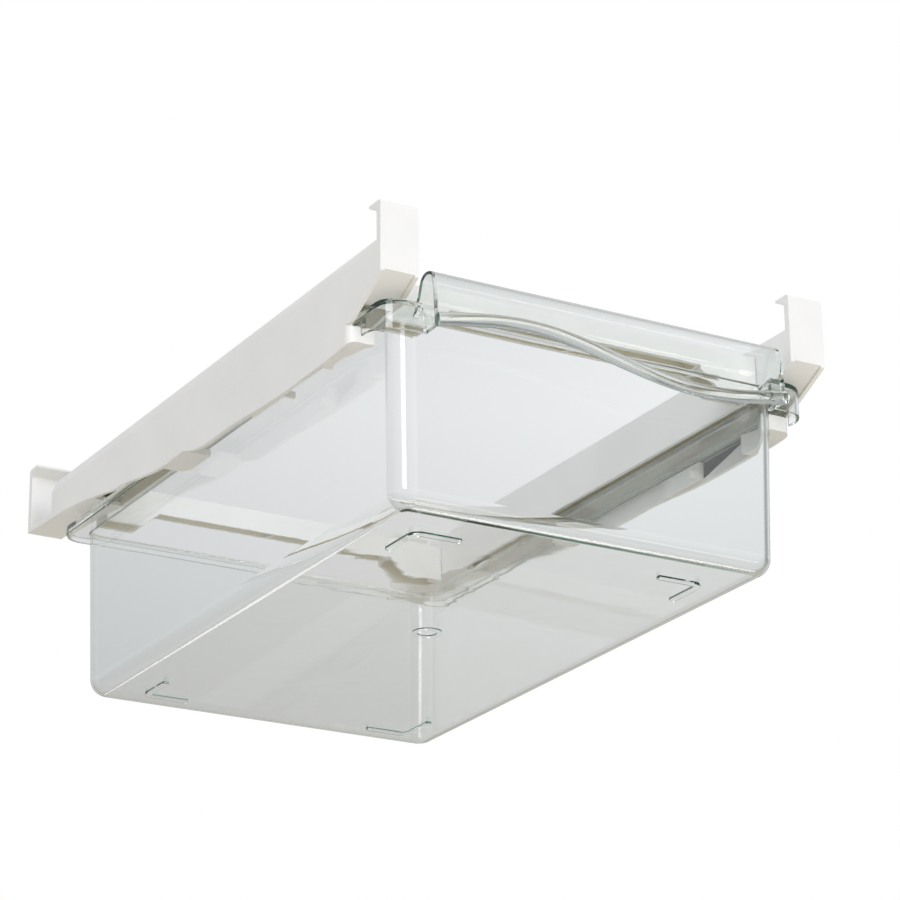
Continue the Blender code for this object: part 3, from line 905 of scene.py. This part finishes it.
def make_drawer():
    drawer = tub()
    opening = handle_half - handle_wall
    cut(drawer, block("pocket_mouth", (-opening, opening), (skirt_front - overrun, tub_front_top),
                      (drawer_height - lip_height - overrun, drawer_height + skirt_rise + overrun)))
    add(drawer, skirts())
    for side in (-1, 1):
        add(drawer, handle_end(side))
    add(drawer, handle_shell())
    add(drawer, handle_bead())
    for side in (-1, 1):
        lip_face = side * flange_half
        x = sorted((lip_face - side * weld, lip_face + side * stop_reach))
        y = (drawer_stop_y, drawer_stop_y + stop_thickness)
        low = drawer_height - lip_height
        add(drawer, block("stop", x, y, (low, low + stop_height)))
        add(drawer, foot(side, tub_front_top + foot_front_inset, -1))
        add(drawer, foot(side, tub_rear_top - foot_rear_inset, 1))
    gate = gate_disc("gate", gate_outer, -gate_height, tub_floor / 2)
    cut(gate, gate_disc("gate_hole", gate_inner, -gate_height - overrun, tub_floor))
    add(drawer, gate)
    return drawer


# Materials


def shader_of(material):
    material.use_nodes = True
    return material.node_tree, material.node_tree.nodes["Principled BSDF"]


def noise(tree, scale, detail):
    # Soft noise that is fixed to the piece.
    place = tree.nodes.get("Place") or tree.nodes.new("ShaderNodeTexCoord")
    place.name = "Place"
    texture = tree.nodes.new("ShaderNodeTexNoise")
    texture.inputs["Scale"].default_value = scale
    texture.inputs["Detail"].default_value = detail
    tree.links.new(place.outputs["Object"], texture.inputs["Vector"])
    return texture.outputs["Fac"]


def between(tree, source, span, low=0, high=1):
    # Goes from low to high while the source goes through the span, and stays level outside it.
    node = tree.nodes.new("ShaderNodeMapRange")
    node.inputs["From Min"].default_value = span[0]
    node.inputs["From Max"].default_value = span[1]
    node.inputs["To Min"].default_value = low
    node.inputs["To Max"].default_value = high
    tree.links.new(source, node.inputs["Value"])
    return node.outputs["Result"]


def mixed(tree, share, first, second, blend="MIX"):
    # The first colour turned into the second as far as the share says; each is a tuple or an output.
    node = tree.nodes.new("ShaderNodeMix")
    node.data_type = "RGBA"
    node.blend_type = blend
    tree.links.new(share, node.inputs["Factor"])
    for name, color in (("A", first), ("B", second)):
        if isinstance(color, tuple):
            node.inputs[name].default_value = color
        else:
            tree.links.new(color, node.inputs[name])
    return node.outputs["Result"]


def bump(tree, height, depth, below=None):
    # Relief of the given depth, on top of the relief below it.
    node = tree.nodes.new("ShaderNodeBump")
    node.inputs["Distance"].default_value = depth
    tree.links.new(height, node.inputs["Height"])
    if below is not None:
        tree.links.new(below, node.inputs["Normal"])
    return node.outputs["Normal"]


def frame_plastic():
    # White moulded plastic: a fine satin texture with faint flow marks, and a warm tan painted shade in its
    # recesses.
    material = bpy.data.materials.new("white_plastic")
    tree, shader = shader_of(material)
    grain = noise(tree, white_grain_scale, white_grain_detail)
    flow = noise(tree, white_flow_scale, white_flow_detail)
    face = mixed(tree, between(tree, flow, noise_span), white_dull, white_bright)
    # Painted shade: an occlusion test turns the base colour warm tan where nearby parts close in, in place
    # of real shade and bounced light
    depth = tree.nodes.new("ShaderNodeAmbientOcclusion")
    depth.only_local = True
    depth.samples = painted_shade_samples
    depth.inputs["Distance"].default_value = painted_shade_reach
    unshaded_share = between(tree, depth.outputs["AO"], painted_shade_span)
    tree.links.new(mixed(tree, unshaded_share, white_painted_recess_shade, face), shader.inputs["Base Color"])
    tree.links.new(between(tree, flow, noise_span, *white_roughness), shader.inputs["Roughness"])
    flow_marks = bump(tree, flow, white_flow_depth)
    tree.links.new(bump(tree, grain, white_grain_depth, flow_marks), shader.inputs["Normal"])
    shader.inputs["IOR"].default_value = plastic_ior
    return material


def drawer_plastic():
    # Clear moulded plastic: glossy, with a faint green tint that deepens along its edges, partly its own
    # tint and partly painted shade that darkens the outlines.
    material = bpy.data.materials.new("clear_plastic")
    tree, shader = shader_of(material)
    # Painted shade: faces seen edge on are coloured nearly black-green, standing in for the dark lines that
    # light gives clear plastic along its outlines
    edge = tree.nodes.new("ShaderNodeLayerWeight")
    edge_tint_and_shade_share = between(tree, edge.outputs["Facing"], clear_edge_shade_span)
    tree.links.new(mixed(tree, edge_tint_and_shade_share, clear_face, clear_edge_tint_and_shade), shader.inputs["Base Color"])
    shader.inputs["Transmission Weight"].default_value = 1
    shader.inputs["IOR"].default_value = plastic_ior
    flow = noise(tree, clear_flow_scale, clear_flow_detail)
    tree.links.new(between(tree, flow, noise_span, *clear_roughness), shader.inputs["Roughness"])
    tree.links.new(bump(tree, flow, clear_flow_depth), shader.inputs["Normal"])
    output = tree.nodes["Material Output"]
    absorb = tree.nodes.new("ShaderNodeVolumeAbsorption")
    absorb.inputs["Color"].default_value = clear_inside
    absorb.inputs["Density"].default_value = clear_density
    tree.links.new(absorb.outputs["Volume"], output.inputs["Volume"])
    # Shadow rays go straight through with little loss, so the clear plastic's shadows stay pale.
    path = tree.nodes.new("ShaderNodeLightPath")
    clear = tree.nodes.new("ShaderNodeBsdfTransparent")
    clear.inputs["Color"].default_value = clear_shadow
    mix = tree.nodes.new("ShaderNodeMixShader")
    tree.links.new(path.outputs["Is Shadow Ray"], mix.inputs["Fac"])
    tree.links.new(shader.outputs["BSDF"], mix.inputs[1])
    tree.links.new(clear.outputs["BSDF"], mix.inputs[2])
    tree.links.new(mix.outputs["Shader"], output.inputs["Surface"])
    return material


def floor_paint():
    material = bpy.data.materials.new("pale_floor")
    shader = shader_of(material)[1]
    shader.inputs["Base Color"].default_value = floor_color
    shader.inputs["Roughness"].default_value = floor_roughness
    return material


# Studio


def ramp(tree, height, stops):
    # A colour by height, from straight down to straight up.
    node = tree.nodes.new("ShaderNodeValToRGB")
    tree.links.new(between(tree, height, whole_span), node.inputs["Fac"])
    elements = node.color_ramp.elements
    while len(elements) < len(stops):
        elements.new(1)
    for element, (place, color) in zip(elements, stops):
        element.position = place
        element.color = color
    return node.outputs["Color"]


def add_world():
    # A pale room: bright round the horizon, darker overhead, in front, on the right and behind
    # the object on its left, and white where the camera sees it.
    world = bpy.data.worlds.new("studio")
    bpy.context.scene.world = world
    world.use_nodes = True
    tree = world.node_tree
    direction = tree.nodes.new("ShaderNodeTexCoord")
    split = tree.nodes.new("ShaderNodeSeparateXYZ")
    tree.links.new(direction.outputs["Generated"], split.inputs["Vector"])
    across, along, height = split.outputs
    behind_shade = between(tree, across, behind_side_span, *behind_levels)
    room = ramp(tree, height, room_stops)
    room = mixed(tree, between(tree, along, behind_span), room, behind_shade, "MULTIPLY")
    room = mixed(tree, between(tree, along, ahead_span, 1, 0), room, ahead_shade, "MULTIPLY")
    room = mixed(tree, between(tree, across, beside_span), room, beside_shade, "MULTIPLY")
    path = tree.nodes.new("ShaderNodeLightPath")
    shown = mixed(tree, path.outputs["Is Camera Ray"], room, ramp(tree, height, seen_stops))
    tree.links.new(shown, tree.nodes["Background"].inputs["Color"])


def add_softbox(name, place, width, height, power, color, unseen_by):
    # A rectangular light that faces the part.
    data = bpy.data.lights.new(name, "AREA")
    data.shape = "RECTANGLE"
    data.size = width
    data.size_y = height
    data.energy = power
    data.color = color
    light = bpy.data.objects.new(name, data)
    light.location = place
    aim = Vector(light_target) - Vector(place)
    light.rotation_mode = "QUATERNION"
    light.rotation_quaternion = aim.to_track_quat("-Z", "Y")
    light.visible_camera = False
    light.visible_diffuse = "diffuse" not in unseen_by
    light.visible_glossy = "glossy" not in unseen_by
    light.visible_transmission = "transmission" not in unseen_by
    bpy.context.scene.collection.objects.link(light)


def add_floor():
    bm = bmesh.new()
    corners = [(-1, -1), (1, -1), (1, 1), (-1, 1)]
    bm.faces.new([bm.verts.new((x * floor_reach, y * floor_reach, floor_level)) for x, y in corners])
    floor = object_from("floor", bm)
    floor.data.materials.append(floor_paint())


def add_studio():
    add_world()
    add_floor()
    for softbox in softboxes:
        add_softbox(*softbox)
    scene = bpy.context.scene
    scene.view_settings.view_transform = "Standard"
    scene.cycles.max_bounces = light_bounces
    scene.cycles.transmission_bounces = light_bounces
    scene.cycles.glossy_bounces = light_bounces


def dress(piece, name, body, material, node):
    # Names a finished piece, gives it its plastic and puts it in its node's place.
    piece.name = name
    piece.data.name = name
    piece.data.materials.clear()
    piece.data.materials.append(material)
    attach(piece, body)
    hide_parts(node)


def build():
    white = frame_plastic()
    clear = drawer_plastic()
    right = make_rail()
    left = mirrored(right, "left", (-1, 1, 1))
    front = make_crossbar()
    rear = mirrored(front, "rear", (1, -1, 1))
    drawer = make_drawer()
    for piece in (right, left, front, rear):
        soften(piece, frame_sharp_angle, frame_edge)
    soften(drawer, drawer_sharp_angle)
    dress(right, "right_rail_shell", "frame", white, "right_rail")
    dress(left, "left_rail_shell", "frame", white, "left_rail")
    dress(front, "front_crossbar_shell", "frame", white, "front_crossbar")
    dress(rear, "rear_crossbar_shell", "frame", white, "rear_crossbar")
    dress(drawer, "drawer_shell", "drawer", clear, "drawer")


build()
add_studio()
